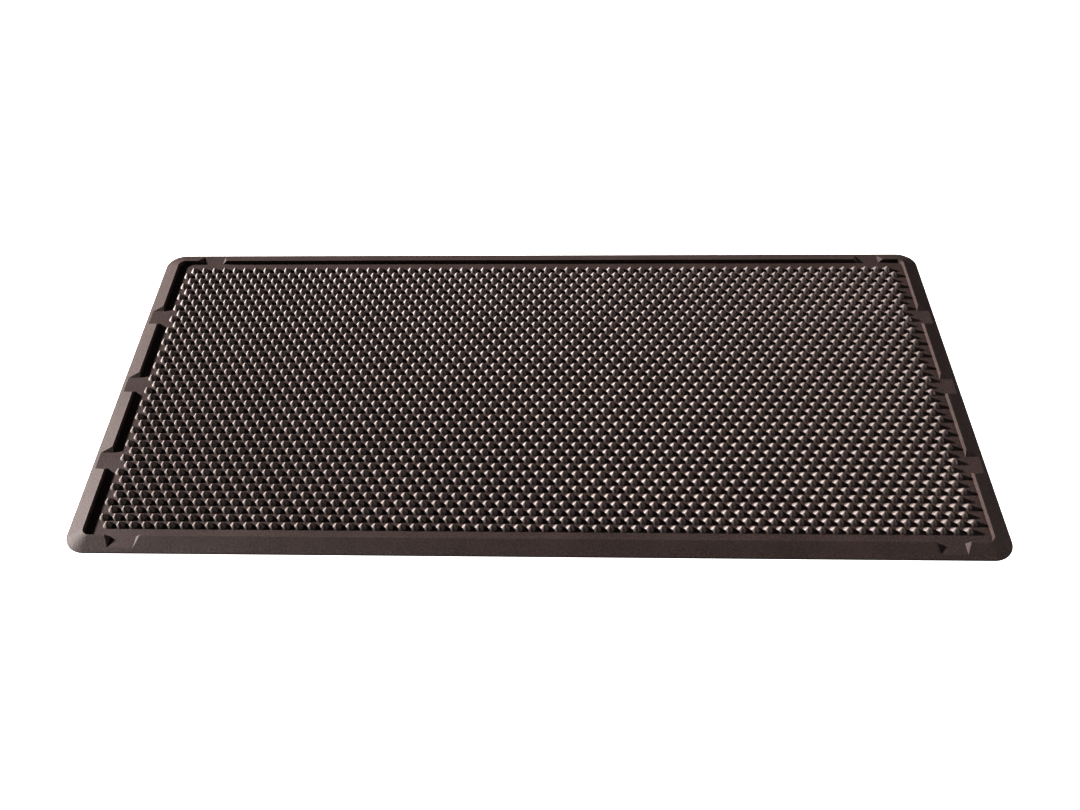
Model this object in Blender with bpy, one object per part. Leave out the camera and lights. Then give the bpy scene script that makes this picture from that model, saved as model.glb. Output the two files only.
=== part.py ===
# Outdoor scraper doormat: a one-piece dark brown rubber moulding, 60 in x 30 in, lying on the ground.
# Frame: origin at the middle of the footprint on the ground, +X along the length, +Y across, +Z up.
# The moulding is built as its real features: the base sheet, ten raised rim bars parted by the drain
# gaps, and the field of pointed studs in ten bands of rows. All sizes in metres.
import bpy
import bmesh
from math import cos, sin, pi

for old in list(bpy.data.objects):
    bpy.data.objects.remove(old, do_unlink=True)

LENGTH = 1.524          # outer length, 60 in
WIDTH = 0.762           # outer width, 30 in
CORNER_R = 0.036        # outer corner radius
CORNER_STEPS = 10       # straight steps in each quarter round
GAP = 0.0003            # clearance kept between features that meet

EDGE_H = 0.0020         # upright outer edge
SHEET_TOP = 0.0050      # top of the base sheet, the floor the studs stand on
CREST_Z = 0.0125        # top of the rim
CREST_IN = 0.0278       # from the outer edge in to the crest
CREST_FLAT = 0.0009     # narrow flat along the crest
WALL_FOOT_IN = 0.0303   # from the outer edge in to the foot of the inner wall
CREST_R = 0.0140        # corner radius of the crest, larger than the outer corner would give it
WALL_R = 0.0120         # corner radius at the foot of the inner wall

SIDE_GAPS_Y = (-0.186, 0.0, 0.186)   # drain gaps in each short side, middles
SIDE_GAP_LEN = 0.036                 # their length at floor level
LONG_GAP_X = 0.6655                  # drain gaps in each long side, middles at + and - this
LONG_GAP_LEN = 0.042                 # their length at floor level
GAP_END_RUN = 0.0080                 # run of the sloping bar ends, floor level to crest

STUD_PITCH = 0.02114    # stud to stud along a row
ROW_PITCH = 0.01636     # row to row
ROWS = 41               # odd rows, first and last included, hold one stud fewer
LONG_ROW = 68           # studs in an even row
STUD_TIP_Z = 0.0140     # height of the stud points
WEB_T = 0.0005          # height of the valleys between joined studs above their underside
BAND_ROWS = (4, 4, 4, 4, 5, 4, 4, 4, 4, 4)   # rows in each band of studs, front to back

RISE = (CREST_Z - EDGE_H) / CREST_IN          # slope of the outer ramp


def rampIn(z):
    """Distance in from the outer edge at which the ramp reaches height z."""
    return (z - EDGE_H) / RISE


def rubber(name, colour, rough):
    mat = bpy.data.materials.new(name)
    mat.use_nodes = True
    shader = mat.node_tree.nodes["Principled BSDF"]
    shader.inputs["Base Color"].default_value = (*colour, 1.0)
    shader.inputs["Roughness"].default_value = rough
    shader.inputs["Metallic"].default_value = 0.0
    mat.diffuse_color = (*colour, 1.0)
    return mat


def finish(name, bm, colour, rough):
    """Close off a mesh, face it outward and hang it on a named object with its own material."""
    bmesh.ops.recalc_face_normals(bm, faces=bm.faces)
    mesh = bpy.data.meshes.new(name)
    bm.to_mesh(mesh)
    bm.free()
    ob = bpy.data.objects.new(name, mesh)
    bpy.context.scene.collection.objects.link(ob)
    mesh.materials.append(rubber(name + "_rubber", colour, rough))
    return ob


def quarter(cx, cy, r, start):
    """Points of a quarter round, anticlockwise from angle start."""
    return [(cx + r * cos(start + pi / 2 * k / CORNER_STEPS), cy + r * sin(start + pi / 2 * k / CORNER_STEPS))
            for k in range(CORNER_STEPS + 1)]


def outline(inset):
    """Rounded rectangle, this far in from the outer edge."""
    x, y, r = LENGTH / 2 - CORNER_R, WIDTH / 2 - CORNER_R, CORNER_R - inset
    return (quarter(x, y, r, 0) + quarter(-x, y, r, pi / 2)
            + quarter(-x, -y, r, pi) + quarter(x, -y, r, 3 * pi / 2))


def baseSheet():
    """The floor of the mat, with the lower part of the outer ramp all round it."""
    bm = bmesh.new()
    rings = [[bm.verts.new((px, py, z)) for px, py in outline(inset)]
             for inset, z in ((0.0, 0.0), (0.0, EDGE_H), (rampIn(SHEET_TOP), SHEET_TOP))]
    for low, high in zip(rings, rings[1:]):
        for k in range(len(low)):
            n = (k + 1) % len(low)
            bm.faces.new((low[k], low[n], high[n], high[k]))
    bm.faces.new(rings[0])
    bm.faces.new(rings[-1])
    return finish("base_sheet", bm, (0.055, 0.040, 0.036), 0.55)


def rimBar(name, stations, colour):
    """A raised bar swept along the edge through its stations; its two ends slope back.

    A straight station is (x, y, inward x, inward y, onward x, onward y), on the outer edge.
    A corner station is (side of the mat in x, side in y, angle round the corner)."""
    foot = SHEET_TOP + GAP
    # each line of the section: distance in, height, corner radius
    section = ((rampIn(foot), foot, CORNER_R - rampIn(foot)), (CREST_IN, CREST_Z, CREST_R),
               (CREST_IN + CREST_FLAT, CREST_Z, CREST_R - CREST_FLAT), (WALL_FOOT_IN, foot, WALL_R))
    bm = bmesh.new()
    rings = []
    for k, station in enumerate(stations):
        ring = []
        for inset, z, r in section:
            if len(station) == 3:
                sx, sy, a = station
                x, y = LENGTH / 2 - inset - r + r * cos(a), WIDTH / 2 - inset - r + r * sin(a)
                ring.append(bm.verts.new((sx * x, sy * y, z)))
                continue
            back = (z - SHEET_TOP) / (CREST_Z - SHEET_TOP) * GAP_END_RUN * (1 if k == 0 else -1)
            x, y, nx, ny, tx, ty = station
            ring.append(bm.verts.new((x + nx * inset + tx * back, y + ny * inset + ty * back, z)))
        rings.append(ring)
    for a, b in zip(rings, rings[1:]):
        for k in range(len(section)):
            n = (k + 1) % len(section)
            bm.faces.new((a[k], b[k], b[n], a[n]))
    bm.faces.new(rings[0])
    bm.faces.new(rings[-1])
    return finish(name, bm, colour, 0.5)


def rimBars():
    hx, hy = LENGTH / 2, WIDTH / 2
    sideHalf, longHalf = SIDE_GAP_LEN / 2, LONG_GAP_LEN / 2
    brown = (0.060, 0.044, 0.039)
    for side, sy in (("front", -1), ("back", 1)):
        x = LONG_GAP_X - longHalf
        rimBar(side + "_rail", [(-x, sy * hy, 0, -sy, 1, 0), (x, sy * hy, 0, -sy, 1, 0)], brown)
    for side, sx in (("left", -1), ("right", 1)):
        for place, sy in (("front", -1), ("back", 1)):
            near, far = sideHalf, SIDE_GAPS_Y[2] - sideHalf
            rimBar(side + "_bar_" + place,
                   [(sx * hx, sy * near, -sx, 0, 0, sy), (sx * hx, sy * far, -sx, 0, 0, sy)], brown)
            stations = [(sx * (LONG_GAP_X + longHalf), sy * hy, 0, -sy, sx, 0)]
            stations += [(sx, sy, pi / 2 * (1 - k / CORNER_STEPS)) for k in range(CORNER_STEPS + 1)]
            stations.append((sx * hx, sy * (SIDE_GAPS_Y[2] + sideHalf), -sx, 0, 0, -sy))
            rimBar("corner_" + place + "_" + side, stations, brown)


def studsIn(row):
    return LONG_ROW if row % 2 else LONG_ROW - 1


def studBand(number, first, count):
    """Some rows of pointed studs joined foot to foot, as one band with a flat underside."""
    foot = SHEET_TOP + GAP
    last = first + count - 1
    bm = bmesh.new()
    corners = {}

    def valley(i, row):
        """Corner shared by the studs round it; i counts half pitches from the mat's middle."""
        if (i, row) not in corners:
            y = (row - (ROWS - 1) / 2) * ROW_PITCH
            y += GAP if row <= first else -GAP if row >= last else 0.0
            inside = first < row < last and abs(i) <= LONG_ROW - 1
            z = foot + WEB_T if inside else foot
            corners[(i, row)] = bm.verts.new((i * STUD_PITCH / 2, y, z))
        return corners[(i, row)]

    for row in range(first, last + 1):
        n = studsIn(row)
        for i in range(1 - n, n, 2):
            tip = bm.verts.new((i * STUD_PITCH / 2, (row - (ROWS - 1) / 2) * ROW_PITCH, STUD_TIP_Z))
            ring = (valley(i + 1, row), valley(i, row + 1), valley(i - 1, row), valley(i, row - 1))
            for p, q in zip(ring, ring[1:] + ring[:1]):
                bm.faces.new((tip, p, q))
    # the ends of the short rows stand clear of the floor, so each closes with a little upright wall
    for row in range(first + 1, last):
        if studsIn(row) < LONG_ROW:
            for side in (-1, 1):
                top = corners[(side * (LONG_ROW - 1), row)]
                under = bm.verts.new((top.co.x, top.co.y, foot))
                for step in (-1, 1):
                    bm.faces.new((corners[(side * LONG_ROW, row + step)], under, top))
    bmesh.ops.contextual_create(bm, geom=[e for e in bm.edges if len(e.link_faces) == 1])
    return finish("stud_band_%02d" % number, bm, (0.060, 0.044, 0.039), 0.45)


baseSheet()
rimBars()
row = 0
for number, count in enumerate(BAND_ROWS, 1):
    studBand(number, row, count)
    row += count
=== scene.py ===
from math import cos, radians, sin
import bmesh
import bpy
from mathutils import Matrix, Vector


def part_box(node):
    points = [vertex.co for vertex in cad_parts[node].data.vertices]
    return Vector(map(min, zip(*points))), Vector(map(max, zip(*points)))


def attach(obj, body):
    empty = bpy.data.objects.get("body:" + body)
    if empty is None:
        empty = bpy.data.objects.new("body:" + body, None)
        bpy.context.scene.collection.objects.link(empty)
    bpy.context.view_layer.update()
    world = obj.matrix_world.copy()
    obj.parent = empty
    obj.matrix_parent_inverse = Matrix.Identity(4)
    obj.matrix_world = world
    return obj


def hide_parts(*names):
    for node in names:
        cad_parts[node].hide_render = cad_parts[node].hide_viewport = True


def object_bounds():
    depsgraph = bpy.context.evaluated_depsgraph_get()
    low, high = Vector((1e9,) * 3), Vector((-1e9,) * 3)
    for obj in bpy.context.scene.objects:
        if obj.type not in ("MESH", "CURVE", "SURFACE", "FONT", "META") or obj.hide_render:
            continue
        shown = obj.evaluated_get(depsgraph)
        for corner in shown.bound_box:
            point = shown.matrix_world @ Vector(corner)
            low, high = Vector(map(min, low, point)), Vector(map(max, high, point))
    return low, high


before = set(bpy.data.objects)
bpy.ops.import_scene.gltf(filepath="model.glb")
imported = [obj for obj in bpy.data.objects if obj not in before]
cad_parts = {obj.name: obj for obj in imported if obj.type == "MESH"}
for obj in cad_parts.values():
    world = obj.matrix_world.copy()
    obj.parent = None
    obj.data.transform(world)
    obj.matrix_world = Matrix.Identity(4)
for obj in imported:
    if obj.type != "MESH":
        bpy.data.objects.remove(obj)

cadLow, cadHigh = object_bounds()
print("frame loaded", len(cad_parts), "nodes")

# which way each kind of element is stored in an edit mesh
elementKinds = {"VERT": "verts", "EDGE": "edges", "FACE": "faces"}


def selectOnly(ob):
    if bpy.context.object and bpy.context.object.mode != "OBJECT":
        bpy.ops.object.mode_set(mode="OBJECT")
    bpy.ops.object.select_all(action="DESELECT")
    ob.select_set(True)
    bpy.context.view_layer.objects.active = ob


def startEdit(ob):
    selectOnly(ob)
    bpy.ops.object.mode_set(mode="EDIT")


def endEdit():
    bpy.ops.object.mode_set(mode="OBJECT")


# selects the elements of the mesh in edit mode that pass the test
def pick(kind, test):
    bpy.ops.mesh.select_mode(type=kind)
    bpy.ops.mesh.select_all(action="DESELECT")
    bm = bmesh.from_edit_mesh(bpy.context.object.data)
    for e in getattr(bm, elementKinds[kind]):
        if test(e):
            e.select_set(True)
    bm.select_flush_mode()
    bmesh.update_edit_mesh(bpy.context.object.data)


# names the primitive just added, and puts its place and size into its mesh
def takePrimitive(name):
    ob = bpy.context.object
    ob.name = ob.data.name = name
    selectOnly(ob)
    bpy.ops.object.transform_apply(location=True, rotation=True, scale=True)
    return ob


def faceOutward(ob):
    startEdit(ob)
    bpy.ops.mesh.select_all(action="SELECT")
    bpy.ops.mesh.normals_make_consistent(inside=False)
    endEdit()


def copyPiece(ob, name):
    other = ob.copy()
    other.data = ob.data.copy()
    other.name = other.data.name = name
    bpy.context.scene.collection.objects.link(other)
    return other


def joinPieces(pieces, name):
    selectOnly(pieces[0])
    for one in pieces:
        one.select_set(True)
    bpy.ops.object.join()
    bpy.context.object.name = bpy.context.object.data.name = name
    return bpy.context.object


def repeat(ob, count, step):
    selectOnly(ob)
    bpy.ops.object.modifier_add(type="ARRAY")
    array = ob.modifiers[-1]
    array.count = count
    array.use_relative_offset = False
    array.use_constant_offset = True
    array.constant_offset_displace = step
    bpy.ops.object.modifier_apply(modifier=array.name)


def smooth(ob, angle):
    selectOnly(ob)
    bpy.ops.object.shade_smooth_by_angle(angle=radians(angle))


# flat faces shade evenly right up to their soft edges
def evenShade(ob, angle):
    smooth(ob, angle)
    bpy.ops.object.modifier_add(type="WEIGHTED_NORMAL")
    ob.modifiers[-1].keep_sharp = True
    bpy.ops.object.modifier_apply(modifier=ob.modifiers[-1].name)


def settle(ob, finish, slotName, *nodes):
    ob.data.materials.clear()
    ob.data.materials.append(finish)
    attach(ob, "root")
    if nodes:
        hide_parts(*nodes)


# camera: angles in degrees, yaw from straight back, pitch down from level
cameraPlace = {"at": (0.0348, -1.4643, 1.4733), "yaw": -3.605, "pitch": 46.011, "roll": -2.429,
               "sensor": 36.0, "lens": 37.937, "shift": 0.0341, "nearest": 0.05, "farthest": 60.0}


def addCamera(place):
    yaw, pitch, roll = (radians(place[k]) for k in ("yaw", "pitch", "roll"))
    ahead = Vector((sin(yaw) * cos(pitch), cos(yaw) * cos(pitch), -sin(pitch)))
    level = Vector((cos(yaw), -sin(yaw), 0.0))
    upright = level.cross(ahead)
    right = cos(roll) * level + sin(roll) * upright
    up = cos(roll) * upright - sin(roll) * level
    bpy.ops.object.camera_add()
    cam = bpy.context.object
    turn = Matrix((right, up, -ahead)).transposed().to_4x4()
    cam.matrix_world = Matrix.Translation(place["at"]) @ turn
    cam.data.sensor_width = place["sensor"]
    cam.data.lens = place["lens"]
    cam.data.shift_x = place["shift"]
    cam.data.clip_start = place["nearest"]
    cam.data.clip_end = place["farthest"]
    bpy.context.scene.camera = cam


addCamera(cameraPlace)
print("camera placed")


# a shader socket that adds, takes away and multiplies like a number
class Wire:
    def __init__(self, tree, socket):
        self.tree = tree
        self.socket = socket

    def joined(self, operation, first, second):
        node = self.tree.nodes.new("ShaderNodeMath")
        node.operation = operation
        for socket, value in zip(node.inputs, (first, second)):
            if isinstance(value, Wire):
                self.tree.links.new(value.socket, socket)
            else:
                socket.default_value = value
        return Wire(self.tree, node.outputs[0])

    def __add__(self, other):
        return self.joined("ADD", self, other)

    def __radd__(self, other):
        return self.joined("ADD", other, self)

    def __sub__(self, other):
        return self.joined("SUBTRACT", self, other)

    def __rsub__(self, other):
        return self.joined("SUBTRACT", other, self)

    def __mul__(self, other):
        return self.joined("MULTIPLY", self, other)

    def __rmul__(self, other):
        return self.joined("MULTIPLY", other, self)


# one material and the nodes that feed its shader
class Finish:
    def __init__(self, name):
        self.material = bpy.data.materials.new(name)
        self.material.use_nodes = True
        self.tree = self.material.node_tree
        self.shader = self.tree.nodes["Principled BSDF"]

    def plug(self, socket, value):
        if isinstance(value, Wire):
            self.tree.links.new(value.socket, socket)
        else:
            socket.default_value = value

    def add(self, kind, settings, sockets, out=0):
        node = self.tree.nodes.new(kind)
        for key, value in settings.items():
            setattr(node, key, value)
        for key, value in sockets.items():
            self.plug(node.inputs[key], value)
        return Wire(self.tree, node.outputs[out])

    def noise(self, spot, scale, detail=2.0, rough=0.5):
        return self.add("ShaderNodeTexNoise", {}, {"Vector": spot, "Scale": scale, "Detail": detail,
                                                   "Roughness": rough})

    # 0 below low, 1 above high
    def ramped(self, value, low, high, start=0.0, end=1.0):
        return self.add("ShaderNodeMapRange", {"interpolation_type": "SMOOTHSTEP"},
                        {"Value": value, "From Min": low, "From Max": high, "To Min": start, "To Max": end})

    # the colour sockets of a Mix node are its seventh and eighth
    def blend(self, amount, first, second):
        return self.add("ShaderNodeMix", {"data_type": "RGBA"}, {0: amount, 6: first, 7: second}, 2)


# moulded rubber: sizes of the noises are per metre, heights in metres
def mouldedRubber(name, look):
    f = Finish(name)
    spot = f.add("ShaderNodeTexCoord", {}, {}, 3)
    height = f.add("ShaderNodeSeparateXYZ", {}, {"Vector": spot}, 2)
    clouds = f.noise(spot, look["cloudScale"], 3.0, 0.55)
    speckle = f.noise(spot, look["speckleScale"], 2.0, 0.6)
    grain = f.noise(spot, look["grainScale"], 2.0, 0.65)
    peel = f.noise(spot, look["peelScale"], 2.0, 0.5)
    dark = (*[c * (1 - look["shadeSpread"]) for c in look["colour"]], 1.0)
    light = (*[c * (1 + look["shadeSpread"]) for c in look["colour"]], 1.0)
    patches = clouds * look["cloudShare"] + speckle * (1 - look["cloudShare"])
    shade = f.ramped(patches, 0.38, 0.62)
    colour = f.blend(shade, dark, light)
    # painted highlight: the tops, rim crests and stud tips, are painted paler, and the same mask makes them
    # a little smoother as rubbed wear
    highlightAndRub = f.ramped(height, look["highlightAndRubFrom"], look["highlightAndRubTo"]) * f.ramped(peel, 0.3, 0.7, 0.55, 1.0)
    # the blend toward the paler colour is the painted highlight
    colour = f.blend(highlightAndRub * look["paintedHighlight"], colour, (*look["paintedHighlightColour"], 1.0))
    # a trace of pale dust lies in the low places
    dust = (1.0 - f.ramped(height, look["dustFrom"], look["dustTo"])) * f.ramped(speckle, 0.5, 0.72)
    colour = f.blend(dust * look["dust"], colour, (*look["dustColour"], 1.0))
    f.plug(f.shader.inputs["Base Color"], colour)
    rough = look["rough"] + (peel + speckle - 1.0) * look["roughSpread"]
    f.plug(f.shader.inputs["Roughness"], rough - highlightAndRub * look["polish"])
    f.plug(f.shader.inputs["IOR"], look["ior"])
    f.plug(f.shader.inputs["Specular IOR Level"], look["shine"])
    pebble = f.noise(spot, look["pebbleScale"], 3.0, 0.6)
    relief = (grain + peel) * look["grain"] + pebble * look["pebble"]
    bump = f.add("ShaderNodeBump", {}, {"Strength": look["bump"], "Distance": look["bumpDepth"],
                                        "Height": relief})
    f.plug(f.shader.inputs["Normal"], bump)
    f.material.diffuse_color = (*look["colour"], 1.0)
    return f.material


# the paler colour for the tops, and how far they are blended toward it, paint a highlight on crests and stud
# tips
rubberLook = {"colour": (0.050, 0.036, 0.0335), "shadeSpread": 0.20, "cloudShare": 0.3, "cloudScale": 11.0,
              "speckleScale": 380.0, "grainScale": 1700.0, "peelScale": 620.0, "pebbleScale": 400.0,
              "grain": 0.3, "pebble": 2.6, "bump": 0.9, "bumpDepth": 0.00022,
              "rough": 0.60, "roughSpread": 0.12, "polish": 0.05, "ior": 1.5, "shine": 0.24,
              "paintedHighlight": 0.35, "highlightAndRubFrom": 0.0118, "highlightAndRubTo": 0.0138, "paintedHighlightColour": (0.076, 0.059, 0.054),
              "dust": 0.12, "dustFrom": 0.0050, "dustTo": 0.0064, "dustColour": (0.150, 0.124, 0.108)}
sheetRubber = mouldedRubber("sheet_rubber", {**rubberLook, "paintedHighlight": 0.0})
# the rim crests get a stronger painted highlight
rimRubber = mouldedRubber("rim_rubber", {**rubberLook, "highlightAndRubFrom": 0.0112, "highlightAndRubTo": 0.0126, "paintedHighlight": 0.4})
# the studs are the same rubber painted about two and a half times paler, a painted highlight that brightens
# their lit flanks, and their tips are painted paler still
studRubberPaintedPaler = mouldedRubber("stud_rubber", {**rubberLook, "colour": (0.132, 0.110, 0.103), "rough": 0.44,
                                           "shine": 0.26, "bump": 0.25, "pebble": 0.2,
                                           "paintedHighlightColour": (0.190, 0.162, 0.153)})
nubRubber = mouldedRubber("nub_rubber", {**rubberLook, "dust": 0.35, "dustTo": 0.0074, "paintedHighlight": 0.0})
print("finishes made")

# base sheet: the floor, the foot of the outer ramp and the upright edge
sheetShape = {"cornerRound": 0.036, "cornerSteps": 16, "edgeHeight": 0.0020, "rampRun": 0.00794,
              "edgeSoft": 0.0002, "edgeSoftSteps": 2, "footBand": 0.030, "underSlope": 0.0006,
              "underDepth": 0.0010, "shadeAngle": 18}


def makeSheet(shape):
    low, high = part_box("base_sheet")
    size = high - low
    bpy.ops.mesh.primitive_cube_add(size=1, location=(0, 0, shape["edgeHeight"] / 2),
                                    scale=(size.x, size.y, shape["edgeHeight"]))
    ob = takePrimitive("mat_sheet")
    startEdit(ob)
    pick("EDGE", lambda e: abs(e.verts[0].co.z - e.verts[1].co.z) > 0.0005)
    bpy.ops.mesh.bevel(offset=shape["cornerRound"], segments=shape["cornerSteps"], affect="EDGES")
    pick("FACE", lambda f: f.normal.z > 0.9)
    bpy.ops.mesh.inset(thickness=shape["rampRun"], depth=high.z - shape["edgeHeight"])
    # the underside stands on a flat band, and is let in a little inside it for the grip nubs
    pick("FACE", lambda f: f.normal.z < -0.9)
    bpy.ops.mesh.inset(thickness=shape["footBand"])
    bpy.ops.mesh.inset(thickness=shape["underSlope"], depth=-shape["underDepth"])
    pick("EDGE", lambda e: all(abs(v.co.z - shape["edgeHeight"]) < 0.0001 for v in e.verts))
    bpy.ops.mesh.bevel(offset=shape["edgeSoft"], segments=shape["edgeSoftSteps"], affect="EDGES")
    endEdit()
    faceOutward(ob)
    evenShade(ob, shape["shadeAngle"])
    settle(ob, sheetRubber, "sheet_rubber", "base_sheet")


makeSheet(sheetShape)
print("sheet made")

# rim bars: distances in from the mat's edge, and the gaps' places measured from the mat's middle
rimShape = {"rampFoot": sheetShape["rampRun"], "crestIn": 0.0278, "crestFlat": 0.0009, "wallFoot": 0.0303,
            "floor": 0.0050, "sunk": 0.0003, "crestRound": 0.0140, "wallRound": 0.0120, "roundSteps": 16,
            "crestSoft": 0.0004, "crestSoftSteps": 3, "sideGapAt": 0.186, "sideGapHalf": 0.018,
            "longGapAt": 0.6655, "longGapHalf": 0.021, "endRun": 0.0080, "shadeAngle": 40}
halfLength, halfWidth = cadHigh.x, cadHigh.y
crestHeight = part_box("front_rail")[1].z


# an open rounded rectangle, this far in from the mat's edge
def makeLoop(inset, z, radius, steps):
    bpy.ops.mesh.primitive_plane_add(size=2, location=(0, 0, z))
    ob = takePrimitive("rim_line")
    startEdit(ob)
    bpy.ops.mesh.select_mode(type="VERT")
    bpy.ops.mesh.select_all(action="SELECT")
    bpy.ops.transform.resize(value=(halfLength - inset, halfWidth - inset, 1))
    bpy.ops.mesh.bevel(offset=radius, segments=steps, affect="VERTICES")
    bpy.ops.mesh.select_mode(type="FACE")
    bpy.ops.mesh.select_all(action="SELECT")
    bpy.ops.mesh.delete(type="ONLY_FACE")
    endEdit()
    return ob


# the whole rim before its gaps are cut: outer ramp, narrow crest, inner wall and hidden underside
def makeRimRing(shape):
    lines = [(shape["rampFoot"], shape["floor"], sheetShape["cornerRound"] - shape["rampFoot"]),
             (shape["crestIn"], crestHeight, shape["crestRound"]),
             (shape["crestIn"] + shape["crestFlat"], crestHeight, shape["crestRound"] - shape["crestFlat"]),
             (shape["wallFoot"], shape["floor"] - shape["sunk"], shape["wallRound"])]
    strips = []
    for first, second in zip(lines, lines[1:] + lines[:1]):
        strip = joinPieces([makeLoop(*line, shape["roundSteps"]) for line in (first, second)], "rim_strip")
        startEdit(strip)
        bpy.ops.mesh.select_mode(type="EDGE")
        bpy.ops.mesh.select_all(action="SELECT")
        bpy.ops.mesh.bridge_edge_loops()
        endEdit()
        strips.append(strip)
    ring = joinPieces(strips, "rim_ring")
    startEdit(ring)
    bpy.ops.mesh.select_all(action="SELECT")
    bpy.ops.mesh.remove_doubles(threshold=0.00002)
    bpy.ops.mesh.normals_make_consistent(inside=False)
    # joints halfway along the sides, so that one side or one corner can be lifted out
    for across in ((1, 0, 0), (0, 1, 0)):
        bpy.ops.mesh.select_all(action="SELECT")
        bpy.ops.mesh.bisect(plane_co=(0, 0, 0), plane_no=across)
    endEdit()
    return ring


# cuts a bar's end back to a slope; toGap points from the bar into the gap
def slopeEnd(shape, at, toGap):
    rise = crestHeight - shape["floor"]
    outward = Vector((toGap[0] * rise, toGap[1] * rise, shape["endRun"])).normalized()
    bpy.ops.mesh.select_all(action="SELECT")
    bpy.ops.mesh.bisect(plane_co=(*at, shape["floor"]), plane_no=outward, use_fill=True, clear_outer=True)


# lifts one stretch out of the rim ring and closes its ends
def makeBar(ring, name, shape, keep, cuts):
    ob = copyPiece(ring, name)
    startEdit(ob)
    pick("VERT", lambda v: not keep(v.co))
    bpy.ops.mesh.delete(type="VERT")
    for at, toGap in cuts:
        slopeEnd(shape, at, toGap)
    bpy.ops.mesh.select_all(action="SELECT")
    bpy.ops.mesh.normals_make_consistent(inside=False)
    pick("EDGE", lambda e: max(v.co.z for v in e.verts) > crestHeight - 0.0001 and len(e.link_faces) == 2
         and e.calc_face_angle(0) > radians(12))
    bpy.ops.mesh.bevel(offset=shape["crestSoft"], segments=shape["crestSoftSteps"], affect="EDGES")
    endEdit()
    return ob


# the same bar on another side of the mat
def mirrorBar(ob, name, flip):
    other = copyPiece(ob, name)
    startEdit(other)
    bpy.ops.mesh.select_all(action="SELECT")
    bpy.ops.transform.resize(value=flip, center_override=(0, 0, 0))
    bpy.ops.mesh.normals_make_consistent(inside=False)
    endEdit()
    return other


def makeRim(shape):
    ring = makeRimRing(shape)
    railEnd = shape["longGapAt"] - shape["longGapHalf"]
    cornerEnd = shape["longGapAt"] + shape["longGapHalf"]
    near = shape["sideGapHalf"]
    far = shape["sideGapAt"] - shape["sideGapHalf"]
    last = shape["sideGapAt"] + shape["sideGapHalf"]
    rail = makeBar(ring, "rim_rail_front", shape, lambda co: co.y < -halfWidth * 0.8,
                   (((-railEnd, -halfWidth), (-1, 0)), ((railEnd, -halfWidth), (1, 0))))
    bar = makeBar(ring, "rim_bar_left_front", shape, lambda co: co.x < -halfLength * 0.9,
                  (((-halfLength, -near), (0, 1)), ((-halfLength, -far), (0, -1))))
    corner = makeBar(ring, "rim_corner_left_front", shape, lambda co: co.x < 0.001 and co.y < 0.001,
                     (((-cornerEnd, -halfWidth), (1, 0)), ((-halfLength, -last), (0, 1))))
    bars = [(rail, "front_rail"), (mirrorBar(rail, "rim_rail_back", (1, -1, 1)), "back_rail"),
            (bar, "left_bar_front"), (corner, "corner_front_left")]
    for side, place, flip in (("left", "back", (1, -1, 1)), ("right", "front", (-1, 1, 1)),
                              ("right", "back", (-1, -1, 1))):
        bars.append((mirrorBar(bar, "rim_bar_%s_%s" % (side, place), flip), "%s_bar_%s" % (side, place)))
        bars.append((mirrorBar(corner, "rim_corner_%s_%s" % (side, place), flip),
                     "corner_%s_%s" % (place, side)))
    for ob, node in bars:
        evenShade(ob, shape["shadeAngle"])
        settle(ob, rimRubber, "rim_rubber", node)
    bpy.data.objects.remove(ring)


makeRim(rimShape)
print("rim made")

# studs, in rows that are half a pitch apart; the first and last row are short ones
studShape = {"sides": 12, "shadeAngle": 60, "floor": 0.0050, "sunk": 0.0003, "pitch": 0.02114,
             "rowPitch": 0.01636, "rows": 41, "longRow": 68, "bandRows": (4, 4, 4, 4, 5, 4, 4, 4, 4, 4),
             # radius and height above the floor, foot to tip
             "profile": ((0.0085, 0.0), (0.0076, 0.0005), (0.0023, 0.0079), (0.0011, 0.0088)), "tip": 0.0090}


# extrudes the selected faces
def pull(way, far):
    bpy.ops.mesh.extrude_region_move(TRANSFORM_OT_translate={"value": Vector(way) * far})


def makeStud(shape):
    radius = shape["profile"][0][0]
    base = shape["floor"] - shape["sunk"]
    bpy.ops.mesh.primitive_circle_add(vertices=shape["sides"], radius=radius, fill_type="NGON",
                                      location=(0, 0, base))
    ob = takePrimitive("stud_pattern")
    startEdit(ob)
    bpy.ops.mesh.select_mode(type="FACE")
    bpy.ops.mesh.select_all(action="SELECT")
    here = base
    for wide, up in shape["profile"][1:]:
        z = shape["floor"] + up
        pull((0, 0, 1), z - here)
        bpy.ops.transform.resize(value=(wide / radius, wide / radius, 1), center_override=(0, 0, z))
        radius, here = wide, z
    bpy.ops.mesh.poke(offset=0.0)
    top = max(v.co.z for v in bmesh.from_edit_mesh(ob.data).verts)
    pick("VERT", lambda v: abs(v.co.z - top) < 1e-6 and v.co.xy.length < 1e-5)
    bpy.ops.transform.translate(value=(0, 0, shape["floor"] + shape["tip"] - top))
    bpy.ops.mesh.select_all(action="SELECT")
    bpy.ops.mesh.normals_make_consistent(inside=False)
    endEdit()
    smooth(ob, shape["shadeAngle"])
    return ob


def makeStudRow(stud, count, shape):
    row = copyPiece(stud, "stud_row_%d" % count)
    startEdit(row)
    bpy.ops.mesh.select_all(action="SELECT")
    bpy.ops.transform.translate(value=(-(count - 1) / 2 * shape["pitch"], 0, 0))
    endEdit()
    repeat(row, count, (shape["pitch"], 0, 0))
    return row


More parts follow.
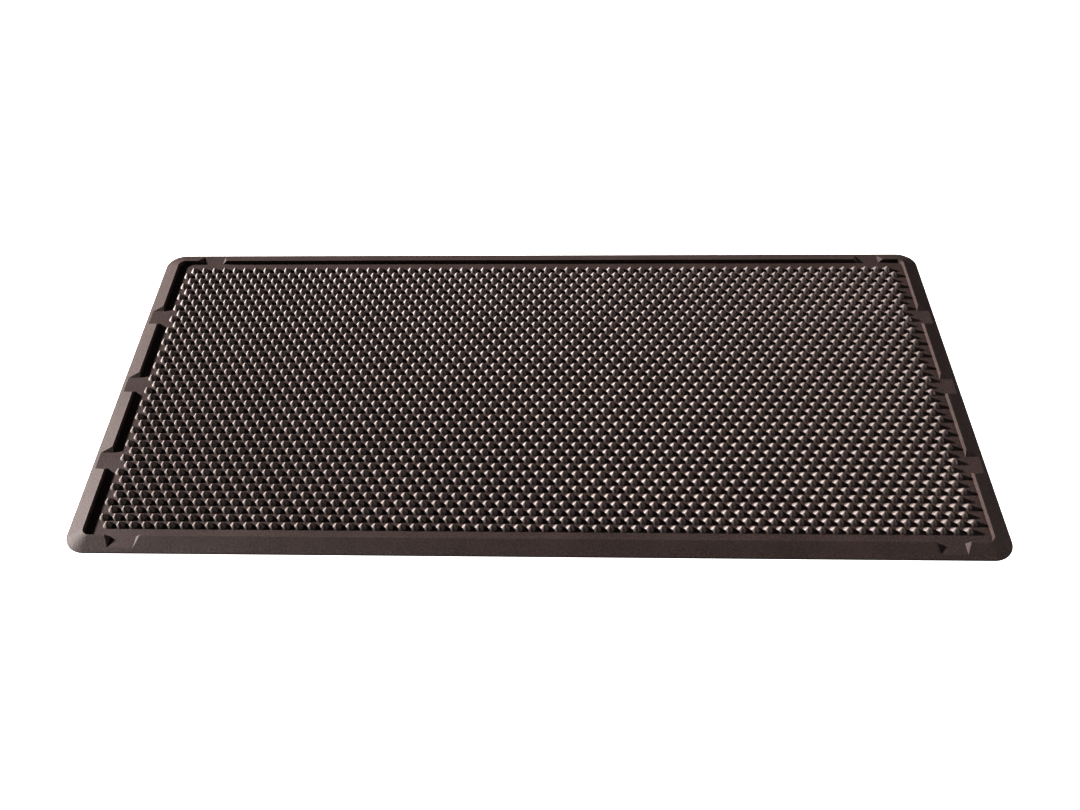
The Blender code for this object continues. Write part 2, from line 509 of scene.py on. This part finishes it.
def makeStudBands(shape):
    stud = makeStud(shape)
    shortRow = makeStudRow(stud, shape["longRow"] - 1, shape)
    longRow = makeStudRow(stud, shape["longRow"], shape)
    row = 0
    for number, count in enumerate(shape["bandRows"], 1):
        rows = []
        for k in range(row, row + count):
            one = copyPiece(longRow if k % 2 else shortRow, "row")
            one.location.y = (k - (shape["rows"] - 1) / 2) * shape["rowPitch"]
            rows.append(one)
            selectOnly(one)
            bpy.ops.object.transform_apply(location=True, rotation=True, scale=True)
        band = joinPieces(rows, "studs_%02d" % number)
        settle(band, studRubberPaintedPaler, "stud_rubber", "stud_band_%02d" % number)
        row += count
    for spare in (stud, shortRow, longRow):
        bpy.data.objects.remove(spare)


makeStudBands(studShape)
print("studs made")

# grip nubs under the sheet, from their roots in the recess down to their feet on the ground
nubShape = {"sides": 8, "root": 0.0036, "foot": 0.0030, "sunk": 0.0003, "footSoft": 0.0003, "pitch": 0.024,
            "across": 61, "rows": 29, "shadeAngle": 40}


def makeNubs(shape):
    top = sheetShape["underDepth"] + shape["sunk"]
    bpy.ops.mesh.primitive_circle_add(vertices=shape["sides"], radius=shape["root"], fill_type="NGON",
                                      location=(-(shape["across"] - 1) / 2 * shape["pitch"],
                                                -(shape["rows"] - 1) / 2 * shape["pitch"], top))
    ob = takePrimitive("grip_nubs")
    startEdit(ob)
    bpy.ops.mesh.select_mode(type="FACE")
    bpy.ops.mesh.select_all(action="SELECT")
    pull((0, 0, -1), top - shape["footSoft"])
    pull((0, 0, -1), shape["footSoft"])
    shrink = shape["foot"] / shape["root"]
    bpy.ops.transform.resize(value=(shrink, shrink, 1))
    bpy.ops.mesh.select_all(action="SELECT")
    bpy.ops.mesh.normals_make_consistent(inside=False)
    endEdit()
    smooth(ob, shape["shadeAngle"])
    repeat(ob, shape["across"], (shape["pitch"], 0, 0))
    repeat(ob, shape["rows"], (0, shape["pitch"], 0))
    settle(ob, nubRubber, "sheet_rubber")


makeNubs(nubShape)
print("grip nubs made")

# floor and air
stageLook = {"floorSize": 30.0, "floorDrop": 0.0004, "floorColour": (0.90, 0.90, 0.90), "floorRough": 0.9,
             "floorGlow": 1.0, "air": 0.02, "backdrop": 1.0}


def makeStage(look):
    bpy.ops.mesh.primitive_plane_add(size=look["floorSize"], location=(0, 0, -look["floorDrop"]))
    floor = takePrimitive("floor")
    floor.visible_diffuse = floor.visible_glossy = False
    f = Finish("pale_floor")
    f.plug(f.shader.inputs["Base Color"], (*look["floorColour"], 1.0))
    f.plug(f.shader.inputs["Roughness"], look["floorRough"])
    f.plug(f.shader.inputs["Emission Color"], (1.0, 1.0, 1.0, 1.0))
    f.plug(f.shader.inputs["Emission Strength"], look["floorGlow"])
    floor.data.materials.append(f.material)
    world = bpy.data.worlds.new("studio_air")
    bpy.context.scene.world = world
    world.use_nodes = True
    # the air looks pale behind the mat, and lights it only faintly
    tree = world.node_tree
    seen = tree.nodes.new("ShaderNodeLightPath").outputs["Is Camera Ray"]
    glow = tree.nodes.new("ShaderNodeMix")
    glow.inputs["A"].default_value = look["air"]
    glow.inputs["B"].default_value = look["backdrop"]
    tree.links.new(seen, glow.inputs["Factor"])
    tree.links.new(glow.outputs["Result"], tree.nodes["Background"].inputs["Strength"])
    tree.nodes["Background"].inputs["Color"].default_value = (1.0, 1.0, 1.0, 1.0)


makeStage(stageLook)

# lamps: a far softbox low on the left rakes over the studs, and three weak ones fill
lampSet = {
    "side_softbox": {"at": (-9.3, 2.05, 3.6), "aim": (0, 0, 0), "size": (0.8, 0.8), "power": 3600,
                     "colour": (1.0, 0.96, 0.945)},
    "back_glow": {"at": (0.0, 4.5, 0.9), "aim": (0, 0, 0.9), "size": (12.0, 1.8), "power": 24,
                  "colour": (1.0, 1.0, 1.0)},
    "right_glow": {"at": (5.0, 0.0, 0.5), "aim": (0, 0, 0.5), "size": (6.0, 1.0), "power": 100,
                   "colour": (1.0, 0.86, 0.82)},
    "top_fill": {"at": (2.4, -0.2, 1.9), "aim": (0.7, 0, 0), "size": (1.2, 1.2), "power": 16,
                 "colour": (1.0, 1.0, 1.0)},
}


def addLamp(name, lampLook):
    bpy.ops.object.light_add(type="AREA", location=lampLook["at"])
    lamp = bpy.context.object
    lamp.name = name
    lamp.data.shape = "RECTANGLE"
    lamp.data.size, lamp.data.size_y = lampLook["size"]
    lamp.data.energy = lampLook["power"]
    lamp.data.color = lampLook["colour"]
    lamp.rotation_mode = "QUATERNION"
    lamp.rotation_quaternion = (Vector(lampLook["aim"]) - Vector(lampLook["at"])).to_track_quat("-Z", "Y")


for lampName, lampLook in lampSet.items():
    addLamp(lampName, lampLook)
bpy.context.scene.view_settings.view_transform = "Standard"
bpy.context.scene.view_settings.look = "High Contrast"
print("stage set")
